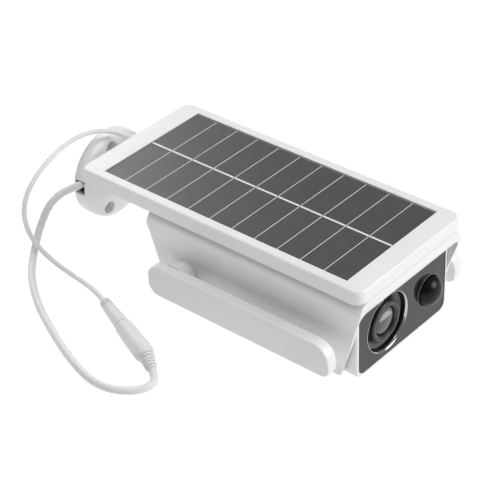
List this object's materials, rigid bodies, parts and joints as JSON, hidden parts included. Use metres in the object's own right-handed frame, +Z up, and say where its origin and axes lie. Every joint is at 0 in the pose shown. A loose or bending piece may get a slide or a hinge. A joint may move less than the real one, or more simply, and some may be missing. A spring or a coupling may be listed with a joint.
{
  "type": "solar-powered security camera",
  "caption": "Security camera under a solar tray, with a lens and a motion-sensor dome behind a dark front window, folding antennas, a two-axis wall bracket and two leads joined inline.",
  "frame": {"origin": "centre of the footprint, on the surface the camera lies on, measured without the free leads and their connector", "axes": "+X to the right seen from behind the lens, +Y from the lens towards the wall face of the bracket, +Z up"},
  "size_m": [0.1885, 0.2266, 0.061],
  "materials": {
    "white_housing": "satin moulded, white",
    "white_lead": "soft satin jacket, white",
    "panel_backing": "pale laminate",
    "solar_cell": "dark silicon under film",
    "cell_ribbon": "tinned copper ribbon",
    "panel_film": "clear textured film",
    "front_glass": "dark tinted window",
    "lens_black": "black moulded",
    "lens_trim": "polished edge",
    "retainer_grey": "anodised grey",
    "lens_glass": "coated glass",
    "sensor_dome": "black gloss",
    "sensor_trim": "clear rim",
    "metal_can": "nickel plated",
    "circuit_board": "green solder mask",
    "led_lens": "infrared lens",
    "battery_wrap": "shrink wrap",
    "seal": "black rubber",
    "white_rubber": "white rubber",
    "button_black": "black",
    "steel": "zinc plated",
    "bearing_plastic": "acetal",
    "contact_metal": "nickel-plated brass"
  },
  "bodies": {
    "wall_mount": {"wall_base": "white_housing", "base_pad": "white_rubber", "base_cable_grommet": "lens_black"},
    "bracket_arm": {"swivel_arm": "white_housing", "arm_retainer": "steel", "panel_lead": "white_lead", "camera_lead": "white_lead", "dc_plug_body": "white_lead", "dc_plug_barrel": "contact_metal", "dc_jack_body": "white_lead", "dc_jack_pin": "contact_metal"},
    "left_antenna": {"antenna_left": "white_housing", "antenna_clip_left": "steel"},
    "right_antenna": {"antenna_right": "white_housing", "antenna_clip_right": "steel"},
    "service_flap": {"service_cover": "white_rubber"},
    "reset_key": {"reset_button": "button_black"},
    "power_key": {"power_button": "button_black"},
    "camera_head": {"antenna_bushes": "bearing_plastic", "battery_cells": "battery_wrap", "battery_holder": "lens_black", "body_shell": "white_housing", "camera_board": "circuit_board", "cell_ribbons": "cell_ribbon", "front_bezel": "white_housing", "front_gasket": "seal", "front_glass": "front_glass", "hood": "white_housing", "image_sensor": "metal_can", "infrared_leds": "led_lens", "led_board": "circuit_board", "lens_barrel": "lens_black", "lens_cup": "lens_black", "lens_front_element": "lens_glass", "lens_holder": "lens_black", "lens_rear_element": "lens_glass", "lens_retainer": "retainer_grey", "lens_ring": "lens_trim", "main_board": "circuit_board", "microphone": "metal_can", "motion_sensor": "metal_can", "motion_sensor_dome": "sensor_dome", "motion_sensor_ring": "sensor_trim", "panel_backing": "panel_backing", "panel_cover_sheet": "panel_film", "panel_lead_relief": "white_lead", "panel_terminal_board": "circuit_board", "panel_tray": "white_housing", "rear_cap": "white_housing", "rear_cap_screws": "steel", "rear_gasket": "seal", "service_board": "circuit_board", "solar_cells": "solar_cell", "speaker": "metal_can", "status_light": "led_lens", "tilt_nut": "steel", "tilt_yoke": "white_housing", "tray_screws": "steel", "yoke_screws": "steel", "tilt_bolt": "steel"}
  },
  "joints": [
    {"name": "arm_swivel", "type": "hinge", "parent": "wall_mount", "child": "bracket_arm", "pos_m": [0, 0.1014, 0.027], "axis": [0, 1, 0], "range_deg": [-90, 90], "deforming": ["camera_lead"]},
    {"name": "head_tilt", "type": "hinge", "parent": "bracket_arm", "child": "camera_head", "pos_m": [0, 0.0454, 0.027], "axis": [1, 0, 0], "range_deg": [-15, 80], "deforming": ["panel_lead"]},
    {"name": "left_antenna_fold", "type": "hinge", "parent": "camera_head", "child": "left_antenna", "pos_m": [-0.05, 0.0094, 0.0214], "axis": [-1, 0, 0], "range_deg": [0, 150]},
    {"name": "right_antenna_fold", "type": "hinge", "parent": "camera_head", "child": "right_antenna", "pos_m": [0.05, 0.0094, 0.0214], "axis": [-1, 0, 0], "range_deg": [0, 150]},
    {"name": "service_cover_flap", "type": "hinge", "parent": "camera_head", "child": "service_flap", "pos_m": [-0.016, -0.0691, 0.0002], "axis": [-1, 0, 0], "range_deg": [0, 120]},
    {"name": "reset_press", "type": "slide", "parent": "camera_head", "child": "reset_key", "axis": [0, 0, 1], "range_m": [0, 0.0005], "stiffness_N_per_m": 300, "springref_m": -0.0003},
    {"name": "power_press", "type": "slide", "parent": "camera_head", "child": "power_key", "axis": [0, 0, 1], "range_m": [0, 0.0005], "stiffness_N_per_m": 300, "springref_m": -0.0003}
  ]
}
